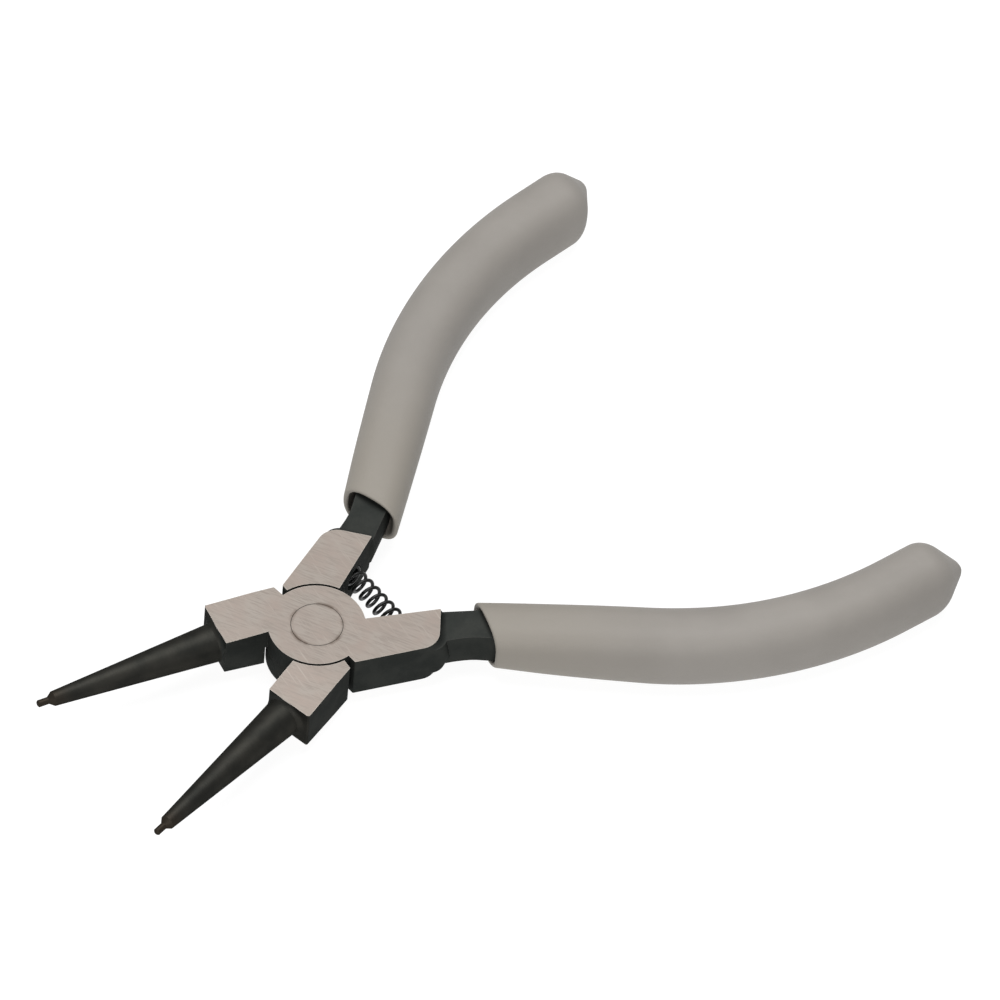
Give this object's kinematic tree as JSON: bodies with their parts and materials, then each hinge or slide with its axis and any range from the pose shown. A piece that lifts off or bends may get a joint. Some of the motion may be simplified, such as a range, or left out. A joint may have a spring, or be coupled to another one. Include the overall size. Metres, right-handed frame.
{
  "type": "internal circlip pliers",
  "caption": "Hand pliers for internal retaining rings: lap-jointed levers with straight tapered noses and thin tip pins, a coil return spring and sleeve grips.",
  "frame": {"origin": "on the pivot axis, at the ground underside of the joint", "axes": "+X along the centre line towards the tips, +Y towards the nose of the lower lever, +Z along the pivot, up out of the upper boss"},
  "size_m": [0.128, 0.0978, 0.0126],
  "materials": {
    "forged_steel": "black oxide, head faces ground bright",
    "rivet_steel": "ground flush",
    "spring_wire": "blackened wire",
    "grip_sleeve": "matt soft plastic sleeve"
  },
  "bodies": {
    "upper_half": {"upper_lever": "forged_steel", "upper_grip": "grip_sleeve", "pivot_rivet": "rivet_steel", "return_spring": "spring_wire"},
    "lower_half": {"lower_lever": "forged_steel", "lower_grip": "grip_sleeve"}
  },
  "joints": [
    {"name": "pivot", "type": "hinge", "parent": "upper_half", "child": "lower_half", "pos_m": [0, 0, 0], "axis": [0, 0, -1], "range_deg": [-5, 36], "stiffness_Nm_per_rad": 0.2, "deforming": ["return_spring"]}
  ]
}
